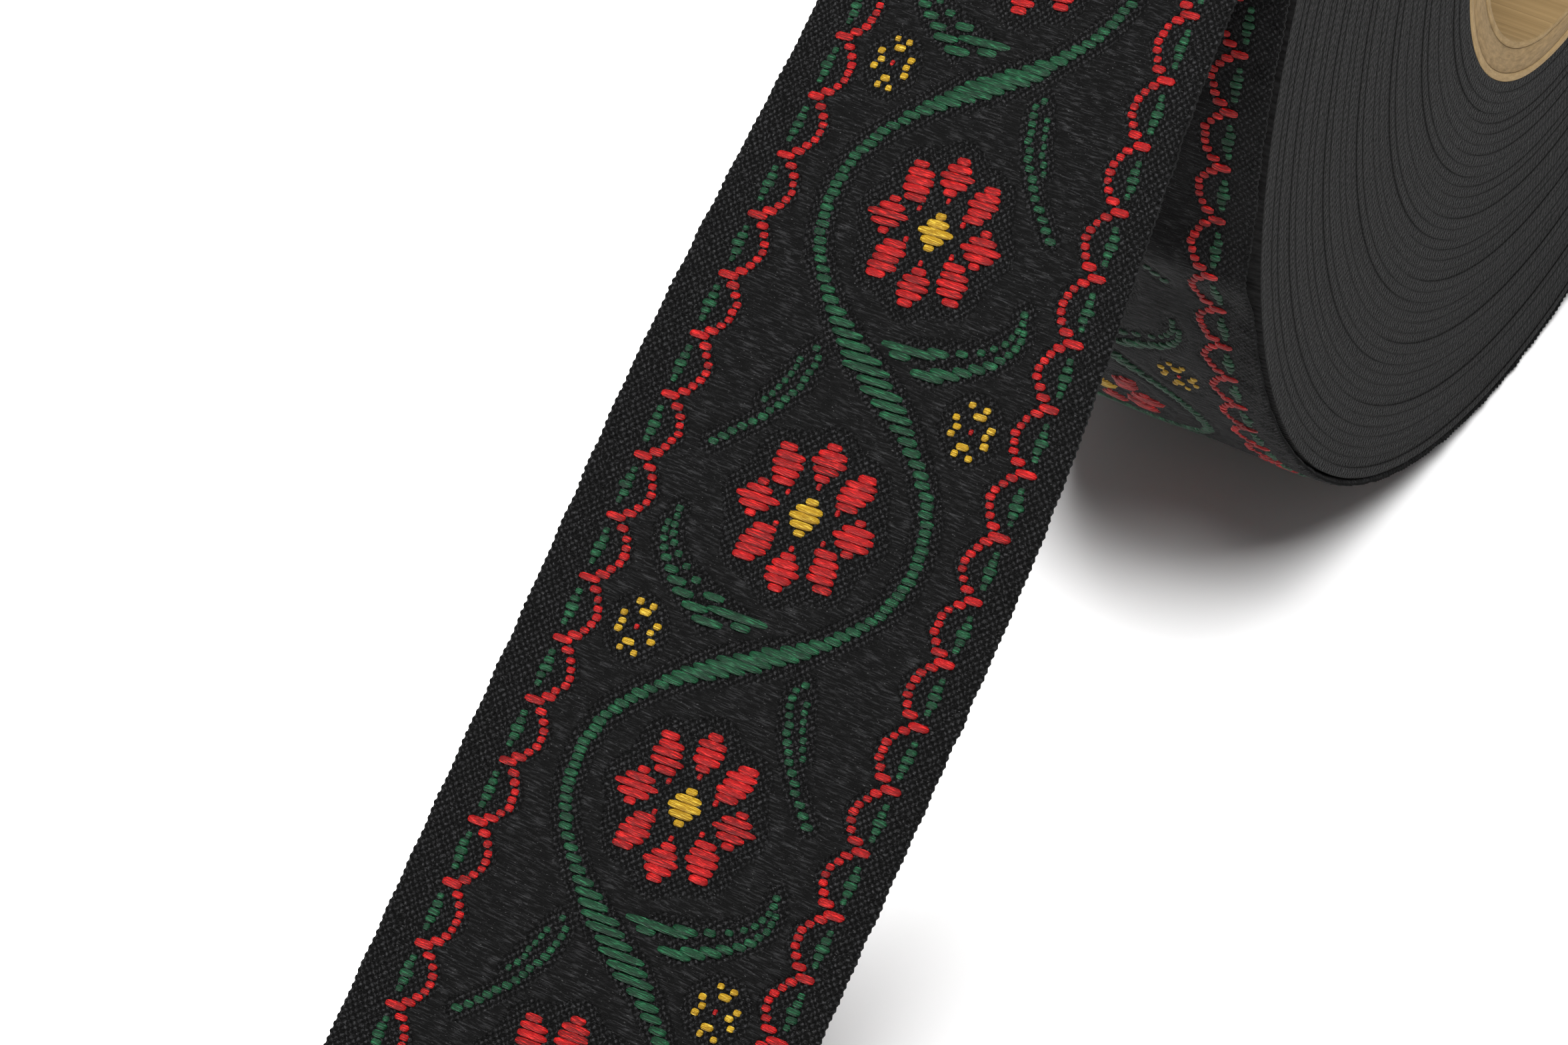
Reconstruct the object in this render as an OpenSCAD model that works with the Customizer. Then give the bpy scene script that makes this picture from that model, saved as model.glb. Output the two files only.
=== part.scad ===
// A roll of jacquard-woven strap ribbon on a cardboard core, with its free tail drawn off
// over the front. Origin: centre of the core's bore. +Y runs along the bore, +Z is up, and the
// tail leaves towards -X. Millimetres.

/* [Ribbon] */
// Width of the ribbon, selvedge to selvedge
ribbon_w = 35; // [20:1:50]
// Overall thickness of the ribbon, pattern wefts included
ribbon_t = 0.9; // [0.7:0.1:1.2]
// How far the pattern wefts stand above the ground cloth
weft_rise = 0.15; // [0.1:0.05:0.25]
// Distance between two coloured picks
pick = 0.61; // [0.55:0.01:0.7]

/* [Roll] */
// Radius of the ribbon's mid-surface where the tail leaves the roll
roll_r = 59; // [50:1:75]
// Radial play between the outer turn and the coil inside it
turn_play = 0.3; // [0.3:0.05:0.5]

/* [Core] */
// Bore of the cardboard core
core_bore = 38; // [32:1:44]
// Thickness of each cardboard layer: liner, body, wrap
core_plies = [0.6, 2.2, 0.7];
// Thickness of the tape that holds the ribbon's start
tape_t = 0.2; // [0.1:0.05:0.3]

/* [Tail] */
// Slope of the tail where it leaves the roll, in degrees below level
leave_slope = 43.5; // [35:0.5:55]
// Slope of the middle of the tail
run_slope = 39.5; // [30:0.5:45]
// Radius of the bend where the tail settles on the table
landing_r = 86; // [60:1:100]
// Length of ribbon that lies flat at the end
flat_l = 36; // [20:1:60]
// Most that the tail twists about its own length, in degrees
twist_max = 16; // [0:1:20]
// How far the tail has drifted sideways from the coil
drift = -1.5; // [-2:0.1:0]

/* [Hidden] */

DEG = 180 / PI;
BLACK = [0.10, 0.10, 0.10];
RED = [0.78, 0.12, 0.15];
GREEN = [0.11, 0.42, 0.27];
YELLOW = [0.85, 0.69, 0.22];
TAN = [0.72, 0.58, 0.38];
BORE_FN = 96;

// Core and coil radii
core_r0 = core_bore / 2;
core_r1 = core_r0 + core_plies[0];
core_r2 = core_r1 + core_plies[1];
core_r3 = core_r2 + core_plies[2];
turn_step = ribbon_t + 0.1;
coil_r = roll_r - turn_step - ribbon_t / 2 - turn_play;
tape_arc = 40;
tape_w = ribbon_w - 9;

// One full outer turn, counted backwards from the point where the tail leaves
turn_l = 2 * PI * (roll_r - turn_step / 2);
// Lowest point of the roll, which is also the table
table_z = -(roll_r - turn_step * (180 + leave_slope) / 360 + ribbon_t / 2);
land_z = table_z + ribbon_t / 2;

// Distances along the tail from the point where it leaves the roll
s_bend = 60;
s_run = 95;
bend_r = (s_run - s_bend) * DEG / (leave_slope - run_slope);
p0 = [-roll_r * sin(leave_slope), roll_r * cos(leave_slope)];
p1 = p0 - s_bend * [cos(leave_slope), sin(leave_slope)];
p2 = p1 - bend_r * [sin(leave_slope) - sin(run_slope), cos(run_slope) - cos(leave_slope)];
run_l = (p2[1] - land_z - landing_r * (1 - cos(run_slope))) / sin(run_slope);
p3 = p2 - run_l * [cos(run_slope), sin(run_slope)];
s_land = s_run + run_l;
s_flat = s_land + landing_r * run_slope / DEG;
s_end = s_flat + flat_l;
p4 = p3 - landing_r * [sin(run_slope), 1 - cos(run_slope)];

// The tail flexes at three lines across it, and each leaves a narrow slit
flex = [20, 75, 128];
slit = 0.6;
// The twist grows from twist_start, is full at twist_full and gone at twist_end
twist_start = 8;
twist_full = 32;
twist_end = 78;

// Pattern: row 0 is a scallop point, 43.2 mm along the tail
row_zero = 43.2;
scallop_rows = 8;
flower_rows = 37;
flower_row = 18;
cross_row = -0.5;
cloth_top = ribbon_t / 2 - weft_rise;
weft_low = cloth_top - 0.1;
weft_top = ribbon_t / 2;

function smooth(t) = let(c = min(max(t, 0), 1)) c * c * (3 - 2 * c);

// Slope of the ribbon below level at distance s, in degrees
function slope(s) =
    s < s_bend ? leave_slope + min(s, 0) / roll_r * DEG * roll_r / (roll_r - turn_step / 2) :
    s < s_run ? leave_slope - (s - s_bend) / bend_r * DEG :
    s < s_land ? run_slope :
    s < s_flat ? run_slope - (s - s_land) / landing_r * DEG : 0;

// Mid-surface of the ribbon at distance s, as [x, z]
function centre(s) = let(b = slope(s))
    s < 0 ? (roll_r + turn_step * s / turn_l) * [-sin(b), cos(b)] :
    s < s_bend ? p0 - s * [cos(b), sin(b)] :
    s < s_run ? p1 - bend_r * [sin(leave_slope) - sin(b), cos(b) - cos(leave_slope)] :
    s < s_land ? p2 - (s - s_run) * [cos(b), sin(b)] :
    s < s_flat ? p3 - landing_r * [sin(run_slope) - sin(b), cos(b) - cos(run_slope)] :
    p4 - [s - s_flat, 0];

function twist(s) = twist_max * smooth((s - twist_start) / (twist_full - twist_start))
    * (1 - smooth((s - twist_full) / (twist_end - twist_full)));

function side_shift(s) = drift * smooth((s + 200) / 160);

// A point of the ribbon: s along it, y across it, h above its mid-surface
function at(s, y, h) = let(c = centre(s), b = slope(s), w = twist(s),
        up = -y * sin(w) + h * cos(w))
    [c[0] - up * sin(b), side_shift(s) + y * cos(w) + h * sin(w), c[1] + up * cos(b)];

// A strip of ribbon through the distances ss, between the sideways places lo and hi
module band(ss, lo, hi, h0, h1) {
    n = len(ss);
    points = [for (i = [0 : n - 1]) each [
        at(ss[i], lo[i], h0), at(ss[i], hi[i], h0), at(ss[i], hi[i], h1), at(ss[i], lo[i], h1)]];
    sides = [for (i = [0 : n - 2], j = [0 : 3]) let(
            a = 4 * i + j, b = 4 * i + (j + 1) % 4) each [[a, b, b + 4], [a, b + 4, a + 4]]];
    last = 4 * (n - 1);
    caps = [[3, 2, 1], [3, 1, 0], [last, last + 1, last + 2], [last, last + 2, last + 3]];
    polyhedron(points, concat(sides, caps), convexity = 4);
}

// A small plate of pattern weft with a convex outline of [s, y] points, counter-clockwise
module plate(outline) {
    n = len(outline);
    points = [for (h = [weft_low, weft_top], q = outline) at(q[0], q[1], h)];
    low = [for (i = [1 : n - 2]) [0, i + 1, i]];
    top = [for (i = [1 : n - 2]) [n, n + i, n + i + 1]];
    sides = [for (i = [0 : n - 1]) let(k = (i + 1) % n) each [[i, k, n + k], [i, n + k, n + i]]];
    polyhedron(points, concat(low, top, sides), convexity = 2);
}

function row_s(row) = row_zero + row * pick;
function row_at(s) = (s - row_zero) / pick;
// Even spacing from a to b, about step apart
function spread(a, b, step) = let(n = ceil((b - a) / step)) [for (i = [0 : n]) a + (b - a) * i / n];

module cloth(a, b, top) {
    ss = spread(a, b, 3);
    lo = [for (s = ss) -ribbon_w / 2];
    hi = [for (s = ss) ribbon_w / 2];
    band(ss, lo, hi, -ribbon_t / 2, top);
}

// How far the red border line lies in from the edge, at a row
function scallop(row) = 3.4 + 1.85 * pow(abs(sin(180 * row / scallop_rows)), 0.8);

// The two red borders and the red petals, between the distances a and b
module red_weft(a, b) {
    rows = [for (r = [ceil(row_at(a) / 2) * 2 : 2 : row_at(b)]) r];
    ss = [for (r = rows) row_s(r)];
    for (edge = [-1, 1]) {
        mid = [for (r = rows) edge * (ribbon_w / 2 - scallop(r))];
        band(ss, [for (m = mid) m - 0.4], [for (m = mid) m + 0.4], weft_low, weft_top);
    }
    for (k = flowers(a, b), turn = [0 : 45 : 315])
        petal(k, turn);
}

// Numbers of the flowers that lie whole between a and b
flower_r = 6.2;
function flowers(a, b) = [for (k = [-1 : 8]) let(s = flower_s(k))
    if (s - flower_r > a && s + flower_r < b) k];
function flower_s(k) = row_s(flower_row + flower_rows * k);
// Flowers sit a little off the middle, to alternate sides
function flower_y(k) = k % 2 == 0 ? -0.33 : 0.33;

module petal(k, turn) {
    kite = [[2.5, 0], [4.4, -1.4], [6.1, 0], [4.4, 1.4]];
    plate([for (q = kite) [
        flower_s(k) + q[0] * cos(turn) - q[1] * sin(turn),
        flower_y(k) + q[0] * sin(turn) + q[1] * cos(turn)]]);
}

// The vine swings from side to side, and is widest where it crosses between flowers
function vine_y(row) = let(turn = 180 * (row - cross_row) / flower_rows)
    9.05 * sin(turn) + 0.42 * sin(3 * turn);
function vine_half(row) = let(d = (row - cross_row) % flower_rows,
        near = min(abs(d), abs(flower_rows - abs(d))))
    0.5 + 1.35 / (1 + pow(near / 4, 3));

module green_weft(a, b) {
    rows = [for (r = [ceil(row_at(a) / 4) * 4 : 4 : row_at(b)]) r];
    band([for (r = rows) row_s(r)], [for (r = rows) vine_y(r) - vine_half(r)],
        [for (r = rows) vine_y(r) + vine_half(r)], weft_low, weft_top);
    for (k = [-1 : 8]) {
        s = row_s(cross_row + flower_rows * k);
        side = k % 2 == 0 ? 1 : -1;
        if (s - 9 > a && s < b)
            leaf(s, side, [[-8.2, 9.9], [-5.2, 9], [-2.7, 6.2], [-1.6, 3.4]]);
        if (s > a && s + 9.6 < b)
            leaf(s, side, [[0, -4.9], [4, -5.2], [9.3, -9.6]]);
    }
}

// A slender leaf along the [s, y] places of its middle line, from the crossing at s
module leaf(s, side, line) {
    band([for (q = line) s + q[0]], [for (q = line) side * q[1] - 0.5],
        [for (q = line) side * q[1] + 0.5], weft_low, weft_top);
}

// Flower centres and the small blossoms beside the vine
module yellow_weft(a, b) {
    for (k = flowers(a, b))
        plate([for (turn = [0 : 90 : 270]) [
            flower_s(k) + 1.4 * cos(turn), flower_y(k) + 1.4 * sin(turn)]]);
    for (k = [-1 : 8]) {
        s = row_s(cross_row + 1.5 + flower_rows * k);
        y = k % 2 == 0 ? 9.2 : -9.2;
        if (s - 3 > a && s + 3 < b)
            for (turn = [0 : 45 : 315])
                plate([for (q = [[1.1, 0], [1.5, -0.35], [2, 0], [1.5, 0.35]]) [
                    s + q[0] * cos(turn) - q[1] * sin(turn),
                    y + q[0] * sin(turn) + q[1] * cos(turn)]]);
    }
}

module tube(r_in, r_out) {
    rotate([90, 0, 0])
        difference() {
            cylinder(h = ribbon_w, r = r_out, center = true, $fn = BORE_FN);
            cylinder(h = ribbon_w + 2, r = r_in, center = true, $fn = BORE_FN);
        }
}

// A wedge from the bore's axis, wide arc degrees either side of +Z
module wedge(arc, width) {
    far = 2 * core_r3;
    rotate([90, 0, 0])
        linear_extrude(height = width, center = true)
            polygon([[0, 0], [-far * tan(arc / 2), far], [far * tan(arc / 2), far]]);
}

module core_inner_ply() { color(TAN) tube(core_r0, core_r1); }
module core_middle_ply() { color(TAN) tube(core_r1, core_r2); }
module core_outer_ply() { color(TAN) tube(core_r2, core_r3); }

// A short tape that joins the ribbon's inner end to the core
module start_tape() {
    color("ivory")
        intersection() {
            tube(core_r3, core_r3 + tape_t);
            wedge(tape_arc, tape_w);
        }
}

// All the inner turns, wound tight, with room for the tape
module wound_coil() {
    color(BLACK)
        difference() {
            tube(core_r3, coil_r);
            intersection() {
                tube(core_r3 - 1, core_r3 + tape_t + 0.05);
                wedge(tape_arc + 2, tape_w + 1);
            }
        }
}

module outer_turn_cloth() { color(BLACK) cloth(-turn_l, flex[0] - slit / 2, ribbon_t / 2); }

module tail_upper_cloth() { color(BLACK) cloth(flex[0] + slit / 2, flex[1] - slit / 2, cloth_top); }
module tail_upper_red_weft() { color(RED) red_weft(flex[0] + slit, flex[1] - slit); }
module tail_upper_green_weft() { color(GREEN) green_weft(flex[0] + slit, flex[1] - slit); }
module tail_upper_yellow_weft() { color(YELLOW) yellow_weft(flex[0] + slit, flex[1] - slit); }

module tail_middle_cloth() { color(BLACK) cloth(flex[1] + slit / 2, flex[2] - slit / 2, cloth_top); }
module tail_middle_red_weft() { color(RED) red_weft(flex[1] + slit, flex[2] - slit); }
module tail_middle_green_weft() { color(GREEN) green_weft(flex[1] + slit, flex[2] - slit); }
module tail_middle_yellow_weft() { color(YELLOW) yellow_weft(flex[1] + slit, flex[2] - slit); }

module tail_end_cloth() { color(BLACK) cloth(flex[2] + slit / 2, s_end, cloth_top); }
module tail_end_red_weft() { color(RED) red_weft(flex[2] + slit, s_end - slit); }
module tail_end_green_weft() { color(GREEN) green_weft(flex[2] + slit, s_end - slit); }
module tail_end_yellow_weft() { color(YELLOW) yellow_weft(flex[2] + slit, s_end - slit); }

core_inner_ply();
core_middle_ply();
core_outer_ply();
start_tape();
wound_coil();
outer_turn_cloth();
tail_upper_cloth();
tail_upper_red_weft();
tail_upper_green_weft();
tail_upper_yellow_weft();
tail_middle_cloth();
tail_middle_red_weft();
tail_middle_green_weft();
tail_middle_yellow_weft();
tail_end_cloth();
tail_end_red_weft();
tail_end_green_weft();
tail_end_yellow_weft();
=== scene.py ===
"""Looks for a roll of jacquard-woven strap ribbon on a cardboard core.

The ribbon is one cloth: its ground is a fine mesh with woven relief, and every coloured float
of the pattern is a small yarn of its own, laid over the ground. Lengths are in millimetres
until a mesh is made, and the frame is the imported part's own.
"""
import math

import bpy
import numpy as np
from mathutils import Matrix, Vector

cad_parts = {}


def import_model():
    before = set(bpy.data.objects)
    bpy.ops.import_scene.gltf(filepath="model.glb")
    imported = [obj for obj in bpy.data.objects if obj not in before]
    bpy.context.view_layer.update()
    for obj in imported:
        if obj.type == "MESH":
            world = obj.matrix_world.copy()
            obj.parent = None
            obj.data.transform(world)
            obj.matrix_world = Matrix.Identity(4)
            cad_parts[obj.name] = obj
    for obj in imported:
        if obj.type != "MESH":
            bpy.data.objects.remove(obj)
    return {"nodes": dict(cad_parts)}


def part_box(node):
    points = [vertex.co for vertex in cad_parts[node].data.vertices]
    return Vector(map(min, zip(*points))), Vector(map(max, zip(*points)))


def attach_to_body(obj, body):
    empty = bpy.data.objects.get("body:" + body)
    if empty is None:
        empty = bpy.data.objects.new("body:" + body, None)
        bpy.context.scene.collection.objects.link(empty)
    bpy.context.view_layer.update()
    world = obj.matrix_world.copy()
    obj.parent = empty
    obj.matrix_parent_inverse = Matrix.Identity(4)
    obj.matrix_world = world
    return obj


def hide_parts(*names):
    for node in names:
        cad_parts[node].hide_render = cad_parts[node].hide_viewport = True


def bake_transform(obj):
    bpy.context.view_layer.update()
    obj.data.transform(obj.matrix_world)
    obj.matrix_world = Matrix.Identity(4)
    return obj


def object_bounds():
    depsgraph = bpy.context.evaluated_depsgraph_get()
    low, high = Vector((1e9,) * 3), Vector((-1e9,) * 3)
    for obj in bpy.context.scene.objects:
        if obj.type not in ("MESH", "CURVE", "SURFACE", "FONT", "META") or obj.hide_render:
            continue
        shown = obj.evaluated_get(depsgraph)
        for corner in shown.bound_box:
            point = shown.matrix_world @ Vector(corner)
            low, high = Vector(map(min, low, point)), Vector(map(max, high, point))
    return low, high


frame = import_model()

MM = 0.001
cad_lo, cad_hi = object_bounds()
rng = np.random.default_rng(7)

# ---- Driving dimensions, the same as the part's own ---------------------------------------
core_lo, core_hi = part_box("core_inner_ply")
coil_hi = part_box("wound_coil")[1]
RIBBON_W = (core_hi.y - core_lo.y) / MM
RIBBON_T = 0.9
ROLL_R = 59.0
TURN_STEP = 1.0
PICK = 0.61
CORE_BORE_R = 19.0
CORE_LINER_R = 19.6
CORE_BODY_R = 21.8
CORE_R = 22.5
COIL_R = coil_hi.z / MM
LEAVE_SLOPE = math.radians(43.5)
RUN_SLOPE = math.radians(39.5)
LANDING_R = 86.0
FLAT_L = 36.0
TWIST_MAX = math.radians(16)
TWIST_AT = (8.0, 32.0, 78.0)  # where the twist starts, is full, and has gone
DRIFT = -1.5
DRIFT_OVER = (-200.0, -40.0)
FLEX = (20.0, 75.0, 128.0)
S_BEND = 60.0
S_RUN = 95.0

# How the outer turn lies on the coil, by distance back from where it leaves the roll
SETTLE = 0.95
SETTLE_OVER = (-70.0, 0.0)
SLACK = 0.7
SLACK_RISE = (-366.0, -348.0)
SLACK_FALL = (-322.0, -278.0)
KINK = 1.2
KINK_AT = -313.0
KINK_L = 3.2

TURN_L = 2 * math.pi * (ROLL_R - TURN_STEP / 2)
TABLE_Z = cad_lo.z / MM
LAND_Z = TABLE_Z + RIBBON_T / 2
BEND_R = (S_RUN - S_BEND) / (LEAVE_SLOPE - RUN_SLOPE)
HALF_W = RIBBON_W / 2


def down(angle):
    """One millimetre along the ribbon at a slope, as (x, z)."""
    return np.array([-math.cos(angle), -math.sin(angle)])


P0 = ROLL_R * np.array([-math.sin(LEAVE_SLOPE), math.cos(LEAVE_SLOPE)])
P1 = P0 + S_BEND * down(LEAVE_SLOPE)
P2 = P1 - BEND_R * np.array([
    math.sin(LEAVE_SLOPE) - math.sin(RUN_SLOPE), math.cos(RUN_SLOPE) - math.cos(LEAVE_SLOPE)])
RUN_L = (P2[1] - LAND_Z - LANDING_R * (1 - math.cos(RUN_SLOPE))) / math.sin(RUN_SLOPE)
P3 = P2 + RUN_L * down(RUN_SLOPE)
P4 = P3 - LANDING_R * np.array([math.sin(RUN_SLOPE), 1 - math.cos(RUN_SLOPE)])
S_LAND = S_RUN + RUN_L
S_FLAT = S_LAND + LANDING_R * RUN_SLOPE
S_END = S_FLAT + FLAT_L


def smooth(t):
    """A soft step: 0 up to t = 0, and 1 from t = 1."""
    c = np.clip(t, 0, 1)
    return c * c * (3 - 2 * c)


def rise(s, start, end):
    """A soft step over a stretch of the ribbon."""
    return smooth((s - start) / (end - start))


def slope(s):
    """Slope of the ribbon below level at distance s from where it leaves the roll."""
    return np.select(
        [s < S_BEND, s < S_RUN, s < S_LAND, s < S_FLAT],
        [LEAVE_SLOPE + np.minimum(s, 0) / (ROLL_R - TURN_STEP / 2),
         LEAVE_SLOPE - (s - S_BEND) / BEND_R,
         RUN_SLOPE + 0 * s,
         RUN_SLOPE - (s - S_LAND) / LANDING_R], 0.0)


def centre(s):
    """Middle of the ribbon's thickness at distance s, as x and z."""
    b = slope(s)
    sin, cos = np.sin(b), np.cos(b)
    r = ROLL_R + TURN_STEP * s / TURN_L
    tests = [s < 0, s < S_BEND, s < S_RUN, s < S_LAND, s < S_FLAT]
    x = np.select(tests, [
        -r * sin, P0[0] - s * cos, P1[0] - BEND_R * (math.sin(LEAVE_SLOPE) - sin),
        P2[0] - (s - S_RUN) * cos, P3[0] - LANDING_R * (math.sin(RUN_SLOPE) - sin)],
        P4[0] - (s - S_FLAT))
    z = np.select(tests, [
        r * cos, P0[1] - s * sin, P1[1] - BEND_R * (cos - math.cos(LEAVE_SLOPE)),
        P2[1] - (s - S_RUN) * sin, P3[1] - LANDING_R * (cos - math.cos(RUN_SLOPE))],
        P4[1])
    return x, z, b


def twist(s):
    """How far the tail is turned about its own length."""
    start, full, end = TWIST_AT
    return TWIST_MAX * rise(s, start, full) * (1 - rise(s, full, end))


def lift(s):
    """How far the outer turn lies from the plain spiral: snug at first, then looser at the front,
    with one small kink that stands off the coil."""
    spiral = ROLL_R + TURN_STEP * s / TURN_L
    snug = ROLL_R - SETTLE * (1 - rise(s, *SETTLE_OVER))
    loose = SLACK * rise(s, *SLACK_RISE) * (1 - rise(s, *SLACK_FALL))
    kink = KINK * np.exp(-((s - KINK_AT) / KINK_L) ** 2)
    return np.where(s < 0, snug + loose + kink - spiral, 0.0)


def place(s, y, h):
    """Points in metres: s along the ribbon, y across it, h above the middle of its thickness."""
    x, z, b = centre(s)
    w = twist(s)
    h = h + lift(s)
    up = -y * np.sin(w) + h * np.cos(w)
    side = DRIFT * rise(s, *DRIFT_OVER) + y * np.cos(w) + h * np.sin(w)
    return np.stack([x - up * np.sin(b), side, z + up * np.cos(b)], axis=-1) * MM


# ---- The woven pattern, in rows of picks ---------------------------------------------------
ROW_ZERO = 43.2
SCALLOP_ROWS = 8
SCALLOP_LENGTHS = [1.6, 1.0, 0.72, 0.72, 0.72, 0.72, 0.76, 1.2]
SCALLOP_IN = 3.1
SCALLOP_DEEP = 1.85
ARC_IN = 2.8
FLOWER_ROWS = 37
FLOWER_ROW = 18
CROSS_ROW = -0.5
VINE_SWING = 9.7
VINE_SLANT = 9.05  # the swing that gives the vine's slant where it crosses
PETAL_R = 4.27
PETAL_HALF_L = 1.8
PETAL_HALF_W = 1.47
PETAL_ROUND = 1.3
FLOWER_SHIFT = 0.33
BLOSSOM_Y = 9.2
CLOSE_UP = 0.975  # the pattern is a little narrower than the cloth, and off centre
OFF_CENTRE = -0.5
LEAN = 0.012  # how far a row falls back for each millimetre across


def row_at(s):
    """The row of picks at a distance."""
    return (s - ROW_ZERO) / PICK


def row_s(row):
    """The distance of a row of picks."""
    return ROW_ZERO + row * PICK


def scallop(row):
    """How far the red border line lies in from the edge."""
    return SCALLOP_IN + SCALLOP_DEEP * np.abs(np.sin(np.pi * row / SCALLOP_ROWS)) ** 0.8


def vine_y(row):
    """Middle of the vine: a wave that swings round each flower."""
    turn = np.pi * (row - CROSS_ROW) / FLOWER_ROWS
    return VINE_SWING * np.sin(turn) + 0.42 * np.sin(3 * turn)


def vine_length(row):
    """Length of the vine's float: long where it crosses, short beside the flowers."""
    d = np.abs((row - CROSS_ROW + FLOWER_ROWS / 2) % FLOWER_ROWS - FLOWER_ROWS / 2)
    return 1.0 + 2.7 / (1 + (d / 4) ** 3)


def side_of(count):
    """+1 or -1: the side that the thick leaf takes at the crossing of that number."""
    return np.where(np.asarray(count) % 2 == 0, 1.0, -1.0)


def flower_y(count):
    """Each flower lies a little away from the vine's swing."""
    return -FLOWER_SHIFT * side_of(count)


# Floats of one flower, blossom and pair of leaves, each as (row, middle y, length). Rows of a
# flower or a blossom count from its own middle, and leaf rows from the crossing beside it.
def petal_floats():
    """Eight petals in a ring, each cut into rows, and a few dots at their roots."""
    across = np.linspace(-7, 7, 561)
    least = 12  # samples that a float must span
    for turn in range(0, 360, 45):
        a = math.radians(turn)
        mid = PETAL_R * np.array([math.cos(a), math.sin(a)])
        for row in range(-10, 11):
            point = np.stack([np.full_like(across, row * PICK), across], axis=-1) - mid
            along = point @ np.array([math.cos(a), math.sin(a)])
            wide = point @ np.array([-math.sin(a), math.cos(a)])
            inside = ((np.abs(along) / PETAL_HALF_L) ** PETAL_ROUND
                      + (np.abs(wide) / PETAL_HALF_W) ** PETAL_ROUND < 1)
            if inside.sum() > least:
                y = across[inside]
                yield row, float(y.mean()), max(float(np.ptp(y)), 1.1) - 0.12
    for row, y in ((4, 0.0), (2, 2.1), (2, -2.1)):
        yield row, y, 0.4
        yield -row, y, 0.4


def centre_floats():
    """The flower's yellow heart."""
    for row, length in zip(range(-2, 3), (0.95, 2.1, 2.75, 2.1, 0.95)):
        yield row, 0.0, length


def blossom_floats():
    """A ring of short floats round one red dot, which is made apart."""
    for end in (-1, 1):
        yield 3 * end, -0.6, 0.55
        yield 3 * end, 0.6, 0.55
        yield 2 * end, 0.15 * end, 1.0
        yield end, -1.5, 0.62
        yield end, 1.5, 0.62
    yield 0, -1.22, 0.62
    yield 0, 1.22, 0.62


def thick_leaf_floats():
    """Rows before the crossing, on the side that side_of gives."""
    for row in range(-14, -4):
        d = row + 14
        yield row, 9.9 - 0.0107 * d ** 3, 0.6 + 4.3 * (d / 9) ** 10
    for row in range(-12, -2):
        d = row + 11.5
        yield row, 10.4 - 0.085 * d * d, 0.55 + 0.03 * d * d
    yield -4, 1.5, 1.7


def thin_leaf_floats():
    """Rows past the crossing, on the other side."""
    for row in range(0, 15):
        yield row, 4.5 + 0.04 * row ** 1.85, 0.62 + 0.02 * row
        if 1 <= row < 8:
            yield row, 5.8 + 0.04 * row ** 1.85, 0.5
    yield -1, 5.0, 0.6


def border_floats(colour, rows):
    """The scalloped red line along both edges, and the green arcs outside it."""
    phase = rows % SCALLOP_ROWS
    length = np.choose(phase, SCALLOP_LENGTHS)
    for edge in (-1, 1):
        for r, p, k in zip(rows, phase, length):
            if colour == "red":
                yield r, edge * (HALF_W - scallop(r)), k
            if colour == "green" and 2 <= p <= 6:
                yield r, edge * (HALF_W - ARC_IN), 1.1 - 0.28 * abs(p - 4)


def moved(found, row, y, side=1.0):
    """Floats moved to a row and a place across, and mirrored when side is -1."""
    return [(row + r, y + side * v, k) for r, v, k in found]


def repeat_floats(colour, count):
    """Flower, blossom and leaves of one repeat of the pattern."""
    side = float(side_of(count))
    cross = FLOWER_ROWS * count
    flower = (cross + FLOWER_ROW, flower_y(count))
    blossom = (cross + 1, BLOSSOM_Y * side)
    if colour == "red":
        return moved(petal_floats(), *flower) + moved([(0, 0.0, 0.34)], *blossom)
    if colour == "yellow":
        return moved(centre_floats(), *flower) + moved(blossom_floats(), *blossom)
    return (moved(thick_leaf_floats(), cross, 0.0, side)
            + moved(thin_leaf_floats(), cross, 0.0, -side))


def floats(colour, start, end):
    """Every float of one colour between two distances, as rows of (s, y, length)."""
    first = math.ceil(row_at(start))
    last = math.ceil(row_at(end)) - 1
    rows = np.arange(first, last + 1)
    found = list(border_floats(colour, rows))
    for count in range(first // FLOWER_ROWS - 1, last // FLOWER_ROWS + 2):
        found += repeat_floats(colour, count)
    if colour == "green":
        found += [(r, vine_y(r), vine_length(r)) for r in rows]
    kept = [(row_s(r), float(y), k) for r, y, k in found if first <= r <= last]
    kept = np.array(kept, float)
    kept[:, 0] -= LEAN * kept[:, 1]
    kept[:, 1] = CLOSE_UP * kept[:, 1] + OFF_CENTRE
    return kept


# ---- Relief of the ground ------------------------------------------------------------------
SATIN_TOP = 0.30
PLAIN_TOP = 0.25
BACK = -0.42
END_PITCH = 0.56  # across the ribbon, over two warp ends
PEBBLE = 0.08
RIDGE = 0.018
RIM_FALL = 0.16
FLOAT_MARGIN = 0.75  # how far the plain weave reaches beyond border and vine
LEAF_MARGIN = 0.95
BRANCH_MARGIN = 0.9
FLOWER_REACH = 6.75
BLOSSOM_REACH = 2.75
BACK_V = 5.0  # added to v on the back, so that it differs from the face


def near_line(ds, y, line):
    """Distance from points to a line through (s, y) places."""
    best = np.full(np.shape(ds), 99.0)
    for (s0, y0), (s1, y1) in zip(line, line[1:]):
        along = np.array([s1 - s0, y1 - y0])
        t = np.clip(((ds - s0) * along[0] + (y - y0) * along[1]) / (along @ along), 0, 1)
        best = np.minimum(best, np.hypot(ds - s0 - t * along[0], y - y0 - t * along[1]))
    return best


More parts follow.
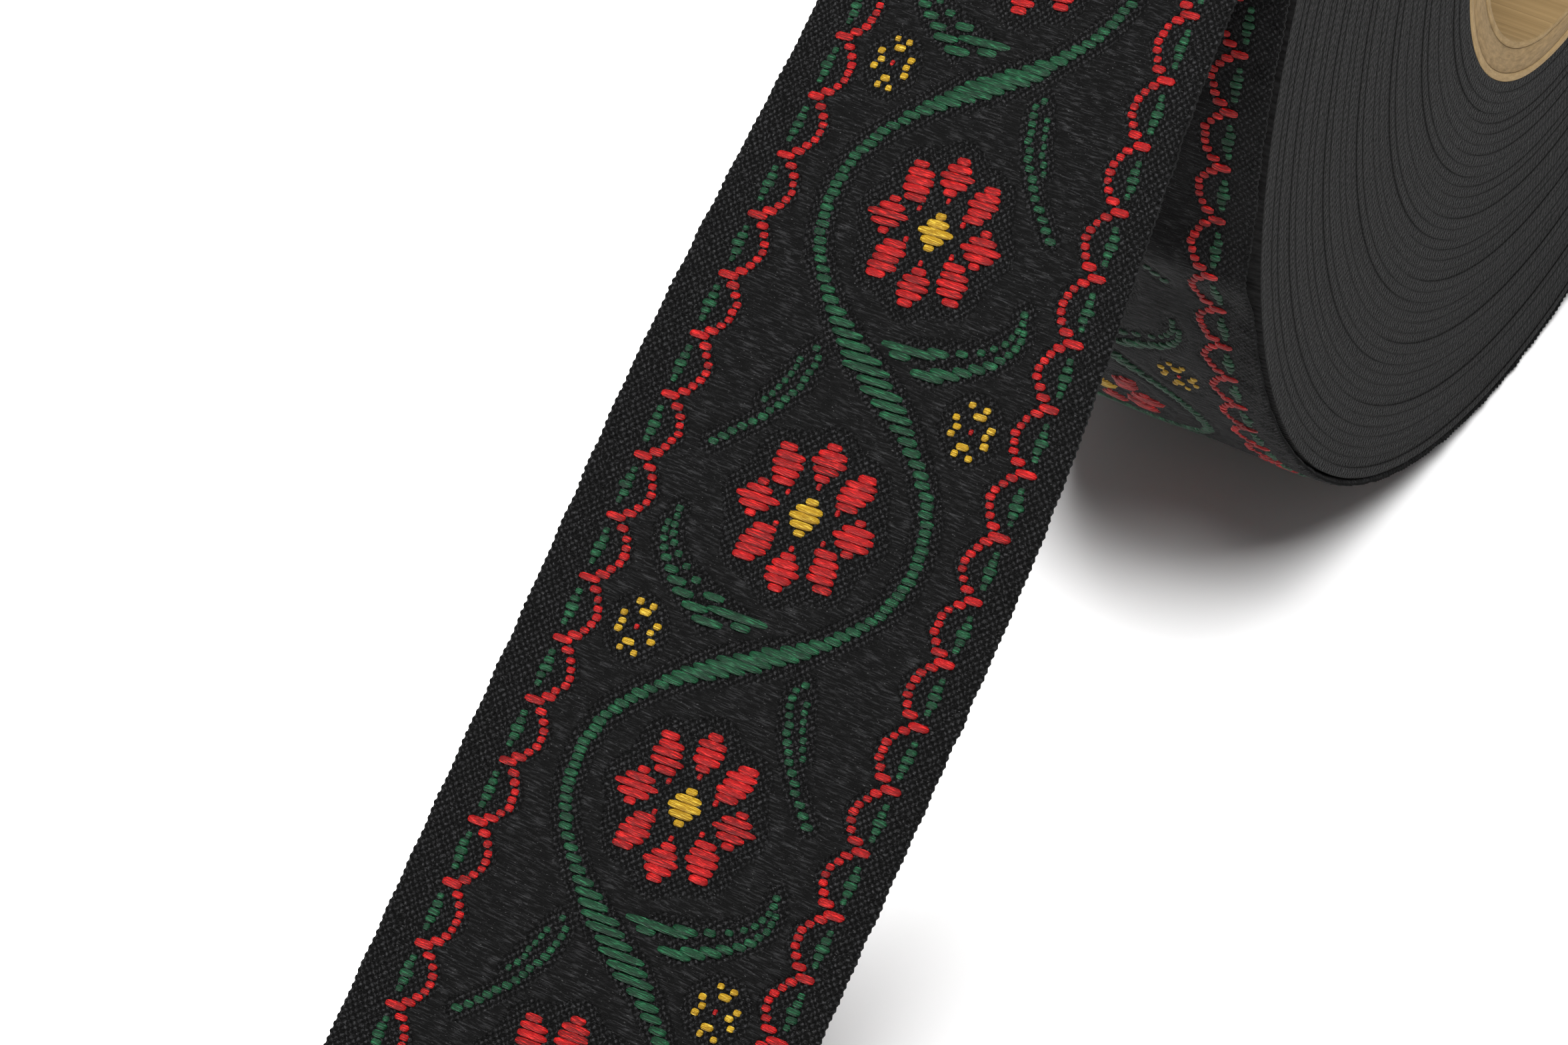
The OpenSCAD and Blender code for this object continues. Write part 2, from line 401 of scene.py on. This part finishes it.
def plain(s, y):
    """1 where the ground is plain weave, which outlines the pattern, and 0 in the satin."""
    y = (y - OFF_CENTRE) / CLOSE_UP
    row = row_at(s + LEAN * y)
    inset = HALF_W - np.abs(y)
    gap = inset - scallop(row) - FLOAT_MARGIN
    slant = np.cos(np.arctan(np.pi / (FLOWER_ROWS * PICK) * VINE_SLANT
                             * np.abs(np.cos(np.pi * (row - CROSS_ROW) / FLOWER_ROWS))))
    vine = (np.abs(y - vine_y(row)) - vine_length(row) / 2) * slant - FLOAT_MARGIN
    gap = np.minimum(gap, vine)
    count = np.floor(row / FLOWER_ROWS)
    ds = s - row_s(FLOWER_ROW + FLOWER_ROWS * count)
    dy = y - flower_y(count)
    lobes = 0.35 * np.cos(8 * np.arctan2(dy, ds))
    gap = np.minimum(gap, np.hypot(ds, dy) - FLOWER_REACH - lobes)
    count = np.round(row / FLOWER_ROWS)
    side = side_of(count)
    ds = s - row_s(FLOWER_ROWS * count)
    gap = np.minimum(gap, np.hypot(ds - PICK, y - BLOSSOM_Y * side) - BLOSSOM_REACH)
    thick = [(r * PICK, v) for r, v, _ in thick_leaf_floats()]
    thin = [(r * PICK, v) for r, v, _ in thin_leaf_floats()]
    inner, outer = thick[:10], thick[10:20]
    stem = sorted(p for p in thin if p[1] < 5.6 or p[0] > 8 * PICK)
    branch = [(0, 5.4), (4.3, 7.2)]
    for line, across, margin in (
            (inner, y * side, LEAF_MARGIN), (outer, y * side, LEAF_MARGIN),
            (stem, -y * side, LEAF_MARGIN), (branch, -y * side, BRANCH_MARGIN)):
        gap = np.minimum(gap, near_line(ds, across, line) - margin)
    return 1 - smooth(gap / 0.45 + 0.5)


def wander(a, b, seed):
    """A slow, smooth and repeatable unevenness between about -1 and 1."""
    r = np.random.default_rng(seed)
    total = 0
    for _ in range(5):
        fa, fb, p = r.uniform(0.6, 1.6), r.uniform(-1.6, 1.6), r.uniform(0, 6.28)
        total = total + np.sin(fa * a + fb * b + p)
    return total / 3


def ground_height(s, y):
    """Height of the cloth's face, pebbled in plain weave and ridged in satin, and the mask."""
    mask = plain(s, y)
    jog = 0.8 * wander(s * 1.1, y * 1.7, 4)
    pebble = PEBBLE * np.cos(2 * np.pi * s / PICK + jog) * np.cos(2 * np.pi * y / END_PITCH - jog)
    pebble = pebble + 0.02 * wander(s * 4, y * 5, 3)
    ridge = RIDGE * np.cos(2 * np.pi * s / PICK + 1.2 * wander(s * 0.5, y * 0.6, 5))
    satin = SATIN_TOP + ridge + 0.02 * wander(s / 3, y / 2, 8)
    edge = np.clip((HALF_W - np.abs(y)) / 0.5, 0, 1)
    rim = RIM_FALL * (1 - np.sqrt(1 - (1 - edge) ** 2))
    return mask * (PLAIN_TOP + pebble) + (1 - mask) * satin - rim, mask


# ---- Mesh making ---------------------------------------------------------------------------
def make_mesh(name, points, quads, caps=(), uv=None, values=None):
    """An object from an array of quads and a few caps, which are faces of any size."""
    mesh = bpy.data.meshes.new(name)
    quads = np.asarray(quads, np.int32)
    loops = np.concatenate([quads.ravel(), *[np.asarray(c, np.int32) for c in caps]])
    totals = np.array([4] * len(quads) + [len(c) for c in caps], np.int32)
    mesh.vertices.add(len(points))
    mesh.vertices.foreach_set("co", np.asarray(points, np.float32).ravel())
    mesh.loops.add(len(loops))
    mesh.loops.foreach_set("vertex_index", loops)
    mesh.polygons.add(len(totals))
    mesh.polygons.foreach_set("loop_start", np.cumsum(totals, dtype=np.int32) - totals)
    mesh.polygons.foreach_set("loop_total", totals)
    mesh.update(calc_edges=True)
    mesh.polygons.foreach_set("use_smooth", totals == 4)
    if uv is not None:
        layer = mesh.uv_layers.new(name="UVMap")
        layer.data.foreach_set("uv", np.asarray(uv, np.float32)[loops].ravel())
    for key, value in (values or {}).items():
        attribute = mesh.attributes.new(key, "FLOAT", "POINT")
        attribute.data.foreach_set("value", np.asarray(value, np.float32))
    mesh.update()
    obj = bpy.data.objects.new(name, mesh)
    bpy.context.scene.collection.objects.link(obj)
    return obj


def grid_faces(rows, cols, wrap=False):
    """Quads of a grid of points, rows by cols; wrap joins the last column to the first."""
    i, j = np.meshgrid(np.arange(rows - 1), np.arange(cols if wrap else cols - 1), indexing="ij")
    i, j = i.ravel(), j.ravel()
    k = (j + 1) % cols
    return np.stack([i * cols + j, i * cols + k, (i + 1) * cols + k, (i + 1) * cols + j], axis=-1)


def fray(s, deep, phase, pace, seed):
    """How far the loops of a selvedge stand out, pick by pick."""
    return deep * np.cos(2 * np.pi * s / PICK + phase) + 0.06 * wander(s * pace, 0 * s, seed)


def cloth_mesh(name, start, end, step_s, step_y):
    """The ground of the ribbon from start to end, closed all round."""
    n_s = round((end - start) / step_s) + 1
    n_y = round(RIBBON_W / step_y) + 1
    s = np.linspace(start, end, n_s)
    y = np.linspace(-HALF_W, HALF_W, n_y)
    # the back runs the other way across: flat, with its two edges turned up to meet the face
    under = np.array([1.0, 0.985, 0.7, 0.35, 0, -0.35, -0.7, -0.985, -1.0]) * HALF_W
    back = np.array([-0.12, -0.36] + [BACK] * 5 + [-0.36, -0.12])
    ss, yy = np.meshgrid(s, y, indexing="ij")
    height, mask = ground_height(ss, yy)
    near = fray(s, 0.07, 0, 1.3, 21)[:, None]
    far = fray(s, 0.06, 2.4, 1.1, 22)[:, None]
    reach = np.clip((np.abs(yy) - HALF_W + 0.8) / 0.8, 0, 1) ** 2
    yy = yy + reach * np.where(yy > 0, far, -near)
    us, uy = np.meshgrid(s, under, indexing="ij")
    uh = np.broadcast_to(back, us.shape) + 0.02 * np.cos(2 * np.pi * us / PICK)
    uy = uy + (np.abs(uy) / HALF_W > 0.9) * np.where(uy > 0, far, -near)
    all_s = np.concatenate([ss, us], axis=1)
    all_y = np.concatenate([yy, uy], axis=1)
    all_h = np.concatenate([height, uh], axis=1)
    cols = all_s.shape[1]
    points = place(all_s.ravel(), all_y.ravel(), all_h.ravel())
    faces = grid_faces(n_s, cols, wrap=True)[:, ::-1]
    caps = [np.arange(cols), (n_s - 1) * cols + np.arange(cols)[::-1]]
    v = np.concatenate([y, 2 * HALF_W - under + BACK_V])
    uv = np.stack([np.repeat(s, cols), np.tile(v, n_s)], axis=-1)
    weave = np.concatenate([mask, np.full(us.shape, 2.0)], axis=1)
    return make_mesh(name, points, faces, caps, uv, {"weave": weave.ravel()})


# One float of yarn, across and above the cloth
FLOAT_HALF_W = 0.31
FLOAT_BASE = 0.18
FLOAT_TALL = 0.34
FLOAT_SLANT = 0.08


def yarn_mesh(name, stitches, along=8, around=6):
    """Every float as a small plump yarn, tapered to its ends, where it dives into the cloth."""
    s0, y0, length = stitches.T[:, :, None, None]
    n = len(stitches)
    jitter = np.clip(rng.normal(0, 1, (n, 4)), -2, 2).T[:, :, None, None]
    length = length * (1 + 0.07 * jitter[0]) + 0.02
    y0 = y0 + 0.06 * jitter[1]
    width = FLOAT_HALF_W * (1 + 0.05 * jitter[2]) * np.clip(0.72 + length / 5, 0, 1.04)
    tall = np.clip(0.19 + 0.06 * length, 0, FLOAT_TALL) * (1 + 0.06 * jitter[3])
    t = -np.cos(np.linspace(0, np.pi, along))[:, None]
    a = np.linspace(-0.25, np.pi + 0.25, around)
    taper = (1 - np.abs(t) ** 4.5) ** 0.5
    arch = (1 - np.abs(t) ** 4) ** 0.6
    arc = 0.25 + 0.75 * np.sign(np.sin(a)) * np.abs(np.sin(a)) ** 0.7
    y = y0 + length / 2 * t
    s = s0 + width * taper * np.cos(a) + FLOAT_SLANT * (y - y0)
    h = FLOAT_BASE + tall * arch * arc
    y, s, h = (np.broadcast_to(v, (n, along, around)).ravel() for v in (y, s, h))
    points = place(s, y, h)
    count = along * around
    faces = grid_faces(along, around)[None] + (np.arange(n) * count)[:, None, None]
    uv = np.stack([s, y], axis=-1)
    tone = np.repeat(rng.uniform(0, 1, n), count)
    return make_mesh(name, points, faces.reshape(-1, 4), (), uv, {"tone": tone})


# ---- Materials -----------------------------------------------------------------------------
class Nodes:
    """A small helper that adds and joins shader nodes."""

    def __init__(self, name):
        self.material = bpy.data.materials.new(name)
        self.material.use_nodes = True
        self.tree = self.material.node_tree
        self.shader = next(n for n in self.tree.nodes if n.type == "BSDF_PRINCIPLED")

    def add(self, kind, inputs=(), **settings):
        node = self.tree.nodes.new(kind)
        for key, value in settings.items():
            setattr(node, key, value)
        for key, value in dict(inputs).items():
            self.feed(node.inputs[key], value)
        return node

    def feed(self, socket, value):
        if isinstance(value, bpy.types.NodeSocket):
            self.tree.links.new(value, socket)
        else:
            socket.default_value = value

    def math(self, operation, a, b=0.0):
        return self.add("ShaderNodeMath", {0: a, 1: b}, operation=operation).outputs[0]

    def mix(self, factor, a, b):
        node = self.add("ShaderNodeMix", data_type="RGBA")
        self.feed(node.inputs[0], factor)
        self.feed(node.inputs[6], a)
        self.feed(node.inputs[7], b)
        return node.outputs[2]

    def uv_noise(self, scale, detail=2.0, rough=0.5, offset=(0, 0, 0)):
        """Noise over (s, y) in millimetres, stretched by scale along each."""
        uv = self.add("ShaderNodeUVMap", uv_map="UVMap").outputs[0]
        spread = self.add("ShaderNodeMapping", {
            "Vector": uv, "Scale": (*scale, 1), "Location": offset})
        noise = self.add("ShaderNodeTexNoise", {
            "Vector": spread.outputs[0], "Scale": 1.0, "Detail": detail, "Roughness": rough})
        return noise.outputs[0]

    def uv_parts(self):
        """Distances s and y in millimetres, as two values."""
        uv = self.add("ShaderNodeUVMap", uv_map="UVMap").outputs[0]
        parts = self.add("ShaderNodeSeparateXYZ", {0: uv}).outputs
        return parts[0], parts[1]

    def wave(self, value, period):
        return self.math("COSINE", self.math("MULTIPLY", value, 2 * math.pi / period))

    def attribute(self, name):
        return self.add("ShaderNodeAttribute", attribute_name=name).outputs["Fac"]

    def ramp(self, value, low, high):
        node = self.add("ShaderNodeMapRange", {"Value": value, "From Min": low, "From Max": high})
        return node.outputs[0]

    def surface(self, colour, roughness, specular, height=None, depth=0.0):
        """Feed the shader, with bumps of a depth in metres, and give back the material."""
        self.feed(self.shader.inputs["Base Color"], colour)
        self.feed(self.shader.inputs["Roughness"], roughness)
        self.feed(self.shader.inputs["Specular IOR Level"], specular)
        if height is not None:
            bump = self.add("ShaderNodeBump", {
                "Height": height, "Distance": depth, "Strength": 1.0})
            self.feed(self.shader.inputs["Normal"], bump.outputs[0])
        return self.material


def rgb(red, green, blue):
    """A colour given as 0 to 255 on a screen, as linear light."""
    def linear(c):
        c = c / 255
        return c / 12.92 if c <= 0.04045 else ((c + 0.055) / 1.055) ** 2.4
    return (linear(red), linear(green), linear(blue), 1.0)


def yarn_material(name, dark, middle, light):
    """Glossy polyester yarn: fine filaments along the float, a tone for each float, and painted
    highlights as lighter filament streaks.
    """
    m = Nodes(name)
    fibres = m.uv_noise((11, 0.9), detail=3, rough=0.6)
    slow = m.uv_noise((0.5, 0.5), detail=1)
    own = m.math("MULTIPLY", m.attribute("tone"), 0.45)
    tone = m.math("ADD", own, m.math("MULTIPLY", slow, 0.55))
    body = m.mix(m.ramp(tone, 0.15, 0.85), dark, middle)
    # The lighter filament streaks, mixed towards the third colour, are painted highlights: glints
    # along the fibres.
    painted_glint = m.math("MULTIPLY", m.ramp(fibres, 0.50, 0.68), 0.8)
    return m.surface(m.mix(painted_glint, body, light), m.ramp(fibres, 1.4, -0.5), 0.24, fibres, 0.0004)


def black_cloth_material():
    """Black polyester: fine crosswise filaments in the satin, pebbly threads in the plain weave,
    with painted sheen as lighter streaks in the satin and painted highlights on the knots.
    """
    m = Nodes("black_woven_cloth")
    weave = m.attribute("weave")
    face = m.math("MINIMUM", weave, 1.0)
    combed = m.uv_noise((6.5, 0.7), detail=4, rough=0.7)
    grain = m.uv_noise((5.5, 5.5), detail=2, rough=0.5, offset=(3, 9, 0))
    specks = m.ramp(m.uv_noise((9, 4), detail=1, rough=0.5, offset=(40, 2, 0)), 0.68, 0.76)
    dust = m.math("MULTIPLY", specks, 0.12)
    patchy = m.ramp(m.uv_noise((0.9, 0.35), detail=2, offset=(5, 30, 0)), 0.2, 0.65)
    # The lighter crosswise streaks, thinned out in patches, are painted sheen on the black
    # filaments.
    painted_sheen = m.math("MULTIPLY", m.ramp(combed, 0.50, 0.70), patchy)
    satin = m.mix(painted_sheen, rgb(2, 2, 2), rgb(46, 46, 47))
    along, across = m.uv_parts()
    jog = m.uv_noise((1.2, 1.8), detail=1, offset=(1, 5, 0))
    picks = m.wave(m.math("ADD", along, m.math("MULTIPLY", jog, 0.5)), PICK)
    ends = m.wave(m.math("ADD", across, m.math("MULTIPLY", jog, 0.6)), END_PITCH)
    # The lighter tops of the knots are painted highlights on the black threads.
    painted_knot_highlight = m.ramp(m.math("MULTIPLY", picks, ends), -0.1, 0.95)
    painted_knot_highlight = m.math("MULTIPLY", painted_knot_highlight, m.ramp(grain, 0.35, 0.65))
    pebbled = m.mix(painted_knot_highlight, rgb(3, 3, 3), rgb(50, 50, 51))
    colour = m.mix(face, satin, pebbled)
    # On the back, where weave is 2, the coloured wefts float from border to border.
    wefts = m.uv_noise((2.6, 0.05), detail=2, offset=(60, 0, 0))
    off_middle = m.math("ABSOLUTE", m.math("SUBTRACT", across, 2 * HALF_W + BACK_V))
    between = m.ramp(off_middle, HALF_W - 3.6, HALF_W - 4.0)
    tinted = m.math("MULTIPLY", between, m.ramp(weave, 1.97, 1.99))
    green = m.math("MULTIPLY", tinted, m.ramp(wefts, 0.44, 0.38))
    red = m.math("MULTIPLY", tinted, m.ramp(wefts, 0.54, 0.58))
    colour = m.mix(green, colour, rgb(10, 50, 30))
    colour = m.mix(red, colour, rgb(120, 6, 10))
    colour = m.mix(dust, colour, rgb(150, 150, 150))
    threads = m.math("MULTIPLY", m.math("MULTIPLY", grain, face), 0.9)
    height = m.math("ADD", m.math("MULTIPLY", combed, 0.6), threads)
    return m.surface(colour, m.ramp(combed, 1.7, -0.2), 0.08, height, 0.0004)


def coil_material():
    """Selvedges of the wound turns, seen edge-on: dark, soft and slightly fuzzy."""
    m = Nodes("wound_selvedges")
    grain = m.uv_noise((1.7, 5.0), detail=3, rough=0.6)
    slow = m.uv_noise((0.02, 0.3), detail=2, offset=(0, 5, 0))
    jog = m.uv_noise((0.5, 2.0), detail=1, offset=(1, 5, 0))
    picks = m.wave(m.math("ADD", m.uv_parts()[0], jog), PICK)
    grain = m.math("ADD", grain, m.math("MULTIPLY", picks, 0.10))
    colour = m.mix(m.ramp(grain, 0.35, 0.7), rgb(3, 3, 3), rgb(22, 22, 22))
    colour = m.mix(m.math("MULTIPLY", slow, 0.35), colour, rgb(18, 16, 15))
    return m.surface(colour, m.ramp(grain, 2.4, -0.8), 0.06, grain, 0.0003)


CORE_GIRTH_U = 120.0  # u once round the core, near its girth in millimetres
SEAM_PITCH = 62.0


def cardboard_material(name, dark, light):
    """Kraft paper: long pulp fibres round the tube, flecks, and the helical seam of its strip."""
    m = Nodes(name)
    fibre = m.uv_noise((0.8, 3.0), detail=4, rough=0.65)
    fleck = m.ramp(m.uv_noise((3.0, 6.0), detail=2, offset=(7, 7, 0)), 0.66, 0.72)
    paper = m.mix(m.ramp(fibre, 0.3, 0.72), dark, light)
    around, out = m.uv_parts()
    turned = m.math("DIVIDE", around, CORE_GIRTH_U)
    strip = m.math("FRACT", m.math("ADD", turned, m.math("DIVIDE", out, SEAM_PITCH)))
    seam = m.math("LESS_THAN", strip, 0.006)
    paper = m.mix(m.math("MULTIPLY", fleck, 0.35), paper, rgb(80, 62, 40))
    paper = m.mix(m.math("MULTIPLY", seam, 0.6), paper, rgb(64, 50, 32))
    return m.surface(paper, 0.85, 0.2, m.math("SUBTRACT", fibre, seam), 0.00012)


def tape_material():
    """Creped paper tape."""
    m = Nodes("masking_tape")
    crepe = m.add("ShaderNodeTexNoise", {"Scale": 900.0, "Detail": 2.0}).outputs[0]
    colour = m.mix(crepe, rgb(214, 202, 168), rgb(234, 226, 200))
    return m.surface(colour, 0.7, 0.5, crepe, 0.0001)


# The third colour of each yarn is the colour of its painted filament highlights.
YARN = {
    "red": yarn_material("red_yarn", rgb(84, 0, 2), rgb(144, 0, 4), rgb(232, 40, 36)),
    "green": yarn_material("green_yarn", rgb(0, 29, 14), rgb(4, 50, 27), rgb(40, 108, 70)),
    "yellow": yarn_material("yellow_yarn", rgb(128, 94, 4), rgb(166, 128, 10), rgb(228, 196, 74)),
}
BLACK_CLOTH = black_cloth_material()


def dress(obj, material):
    """Give an object its material."""
    obj.data.materials.append(material)
    return obj


# ---- Ribbon: the outer turn and the tail ----------------------------------------------------
COARSE = (PICK / 2, 0.28)  # mesh steps along and across the ribbon
FINE = (PICK / 4, 0.14)
TIP = (PICK / 3, 0.14)
# Where one piece of ribbon ends and the next begins
CUTS = [-TURN_L, -300 * PICK, 0.0, 78 * PICK, 166 * PICK, 253 * PICK, S_END]
SPANS = [
    # name, mesh steps, bodies, flex line, first part of the names of the nodes it stands for
    ("outer_turn_front", COARSE, ("outer_turn",), None, "outer_turn"),
    ("outer_turn_top", COARSE, ("outer_turn",), None, "outer_turn"),
    ("tail_take_off", FINE, ("outer_turn", "tail_upper"), FLEX[0], "tail_upper"),
    ("tail_run", FINE, ("tail_upper", "tail_middle"), FLEX[1], "tail_middle"),
    ("tail_landing", FINE, ("tail_middle", "tail_end"), FLEX[2], "tail_end"),
    ("tail_tip", TIP, ("tail_end",), None, "tail_end"),
]
FLEX_HALF = 19.0  # half the stretch round a flex line, where two points are placed that are not used


def attach(obj, bodies, flex):
    """Ride the first body when there is no flex line; at a flex line the piece is only fixed where
    it lies, with no bend and no body.
    """
    if flex is None:
        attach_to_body(obj, bodies[0])
        return
    a, b = place(np.array([flex - FLEX_HALF, flex + FLEX_HALF]), np.zeros(2), np.zeros(2))
    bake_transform(obj)


def ribbon_span(name, start, end, steps, bodies, flex, stands_for):
    """One length of ribbon: its ground, and the yarns of each colour on it."""
    on_tail = stands_for != "outer_turn"
    cloth = dress(cloth_mesh(f"{name}_ground", start, end, *steps), BLACK_CLOTH)
    attach(cloth, bodies, flex)
    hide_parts(f"{stands_for}_cloth")
    pattern = []
    for colour, material in YARN.items():
        stitches = floats(colour, start, end)
        detail = (8, 6) if on_tail else (7, 5)
        yarn = dress(yarn_mesh(f"{name}_{colour}", stitches, *detail), material)
        attach(yarn, bodies, flex)
        if on_tail:
            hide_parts(f"{stands_for}_{colour}_weft")
        pattern.append(yarn)
    return cloth, pattern, "draped" if on_tail else "stretched"


for start, end, (name, *rest) in zip(CUTS, CUTS[1:], SPANS):
    cloth, pattern, held = ribbon_span(name, start, end, *rest)


# ---- The wound coil --------------------------------------------------------------------------
COIL_TURNS = 38
TURN_STEPS = 144
CLIMB = 0.08  # the part of a turn over which it climbs onto the ribbon's start
COIL_PROUD = 0.25  # how far the outermost turn stands out past the CAD coil


def wound_turns():
    """All the inner turns as one long ribbon in a spiral, each turn a little out of line."""
    pitch = (COIL_R + COIL_PROUD - CORE_R) / COIL_TURNS
    n = COIL_TURNS * TURN_STEPS + 1
    turn = np.linspace(0, COIL_TURNS, n)
    theta = 2 * np.pi * turn - LEAVE_SLOPE
    # Each turn lies round the last and climbs a step where it comes back over the start, and
    # the outermost one stays at the coil's radius.
    step = np.floor(turn) + smooth((turn % 1 - (1 - CLIMB)) / CLIMB)
    r = CORE_R + pitch * (np.minimum(step, COIL_TURNS - 1) + 0.5)
    r = r + 0.02 * np.sin(5 * theta)
    out = 0.03 * np.sin(2.1 * turn) + 0.02 * np.sin(5.3 * turn + 1) + 0.02 * np.sin(theta + turn)
    corner = np.array([0.5, 0.44, 0.25, -0.25, -0.44, -0.5])
    inset = np.array([0.03, 0.01, 0, 0, 0.01, 0.03])
    across = np.concatenate([corner, corner[::-1]])
    edge = np.concatenate([HALF_W - inset, -HALF_W + inset])
    rr = r[:, None] + across[None, :] * pitch
    yy = edge[None, :] + out[:, None]
    x = rr * np.sin(theta)[:, None]
    z = rr * np.cos(theta)[:, None]
    points = np.stack([x, yy, z], axis=-1).reshape(-1, 3) * MM
    cols = len(across)
    faces = grid_faces(n, cols, wrap=True)
    length = np.concatenate([[0], np.cumsum(np.diff(theta) * (r[1:] + r[:-1]) / 2)])
    uv = np.stack([np.repeat(length, cols), np.tile(np.arange(cols) * 0.4, n)], axis=-1)
    caps = [np.arange(cols)[::-1], (n - 1) * cols + np.arange(cols)]
    return make_mesh("wound_turns", points, faces, caps, uv), float(length[-1])


coil, coil_length = wound_turns()
dress(coil, coil_material())
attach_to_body(coil, "coil")
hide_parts("wound_coil")


# ---- The cardboard core ----------------------------------------------------------------------
def ply(name, r_in, r_out, proud, seed, material, node):
    """One layer of the tube, with soft cut edges that wander a little."""
    steps = 240
    r = 0.14  # radius of the soft edges
    mid = (r_in + r_out) / 2
    half = np.array([
        (r_in, HALF_W / 3), (r_in, HALF_W - r), (r_in + r * 0.4, HALF_W - 0.03), (mid, HALF_W),
        (r_out - r * 0.4, HALF_W - 0.03), (r_out, HALF_W - r), (r_out, HALF_W / 3)])
    profile = np.roll(np.concatenate([half, half[::-1] * (1, -1)]), 1, axis=0)
    theta = np.linspace(0, 2 * np.pi, steps, endpoint=False)
    cut = 0.04 * wander(9 * np.cos(theta), 9 * np.sin(theta), seed) + proud
    tt, pr = np.meshgrid(theta, profile[:, 0], indexing="ij")
    yy = np.broadcast_to(profile[:, 1], tt.shape)
    ends = np.clip(np.abs(yy) - HALF_W + 1, 0, 1)
    yy = yy + np.sign(yy) * ends * cut[:, None]
    points = np.stack([pr * np.sin(tt), yy, pr * np.cos(tt)], axis=-1).reshape(-1, 3) * MM
    cols = len(profile)
    i, j = np.meshgrid(np.arange(steps), np.arange(cols), indexing="ij")
    i, j = i.ravel(), j.ravel()
    i2, j2 = (i + 1) % steps, (j + 1) % cols
    faces = np.stack([i * cols + j, i2 * cols + j, i2 * cols + j2, i * cols + j2], axis=-1)
    obj = make_mesh(name, points, faces)
    layer = obj.data.uv_layers.new(name="UVMap")
    radial = np.concatenate([[0], np.cumsum(np.hypot(*np.diff(profile, axis=0).T))])
    k = np.minimum(j + 1, cols - 1)
    around = np.stack([i, i + 1, i + 1, i], axis=-1) / steps * CORE_GIRTH_U
    out = radial[np.stack([j, j, k, k], axis=-1)]
    layer.data.foreach_set("uv", np.stack([around, out], axis=-1).astype(np.float32).ravel())
    dress(obj, material)
    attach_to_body(obj, "coil")
    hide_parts(node)
    return obj


ply("core_liner", CORE_BORE_R, CORE_LINER_R, 0.0, 31,
    cardboard_material("kraft_liner", rgb(122, 100, 66), rgb(152, 128, 90)), "core_inner_ply")
ply("core_body", CORE_LINER_R, CORE_BODY_R, -0.06, 32,
    cardboard_material("kraft_body", rgb(112, 92, 62), rgb(146, 122, 86)), "core_middle_ply")
ply("core_wrap", CORE_BODY_R, CORE_R, 0.03, 33,
    cardboard_material("kraft_wrap", rgb(128, 106, 72), rgb(158, 134, 96)), "core_outer_ply")
tape = frame["nodes"]["start_tape"]
tape.data.materials.clear()
tape.data.materials.append(tape_material())


# ---- Floor, light and camera -----------------------------------------------------------------
def floor():
    """A wide pale table just under the roll and the tail."""
    size, gap = 6.0, 0.00005
    corners = [(-size, -size), (size, -size), (size, size), (-size, size)]
    points = [(x, y, cad_lo.z - gap) for x, y in corners]
    obj = make_mesh("floor", points, [[0, 1, 2, 3]])
    m = Nodes("pale_floor")
    mottle = m.add("ShaderNodeTexNoise", {"Scale": 6.0, "Detail": 2.0}).outputs[0]
    colour = m.mix(mottle, rgb(240, 240, 240), rgb(246, 246, 246))
    obj.data.materials.append(m.surface(colour, 0.9, 0.1))


def lamp(name, place_m, aim, size, power):
    """A softbox: an area light of a size in metres and a power in watts."""
    light = bpy.data.lights.new(name, "AREA")
    light.shape = "RECTANGLE"
    light.size, light.size_y = size
    light.energy = power
    obj = bpy.data.objects.new(name, light)
    obj.location = place_m
    obj.rotation_mode = "QUATERNION"
    obj.rotation_quaternion = (Vector(aim) - Vector(place_m)).to_track_quat("-Z", "Y")
    bpy.context.scene.collection.objects.link(obj)


def camera():
    """The viewing angle: round from +Y towards +X, above the table, and a slight roll."""
    azimuth, elevation, roll = (math.radians(a) for a in (58.35, 42.89, 0.43))
    lens = 115.8
    # millimetres from the camera to the core's middle, along the camera's own axes
    away, left, under = 417.8, 51.3, 63.6
    forward = Vector((math.sin(azimuth) * math.cos(elevation),
                      math.cos(azimuth) * math.cos(elevation), -math.sin(elevation)))
    right = Vector((math.cos(azimuth), -math.sin(azimuth), 0))
    up = right.cross(forward)
    right, up = (right * math.cos(roll) + up * math.sin(roll),
                 up * math.cos(roll) - right * math.sin(roll))
    data = bpy.data.cameras.new("camera")
    data.sensor_width = 36.0
    data.lens = lens
    data.clip_start, data.clip_end = 0.01, 20.0
    obj = bpy.data.objects.new("camera", data)
    spot = (-left * right - under * up - away * forward) * MM
    turn = Matrix((right, up, -forward)).transposed().to_4x4()
    obj.matrix_world = Matrix.Translation(spot) @ turn
    bpy.context.scene.collection.objects.link(obj)
    bpy.context.scene.camera = obj


def world():
    """Weak, even light from all round."""
    w = bpy.data.worlds.new("studio")
    w.use_nodes = True
    background = w.node_tree.nodes["Background"]
    background.inputs["Color"].default_value = (1, 1, 1, 1)
    background.inputs["Strength"].default_value = 0.22
    bpy.context.scene.world = w


bpy.context.scene.view_settings.view_transform = "Standard"
floor()
world()
LIT_SPOT = (-0.06, 0, 0)
lamp("key_softbox", (-0.25, 0.40, 1.0), LIT_SPOT, (0.4, 0.4), 19.0)
lamp("front_softbox", (-0.40, -0.32, 1.15), LIT_SPOT, (0.55, 0.55), 21.0)
camera()
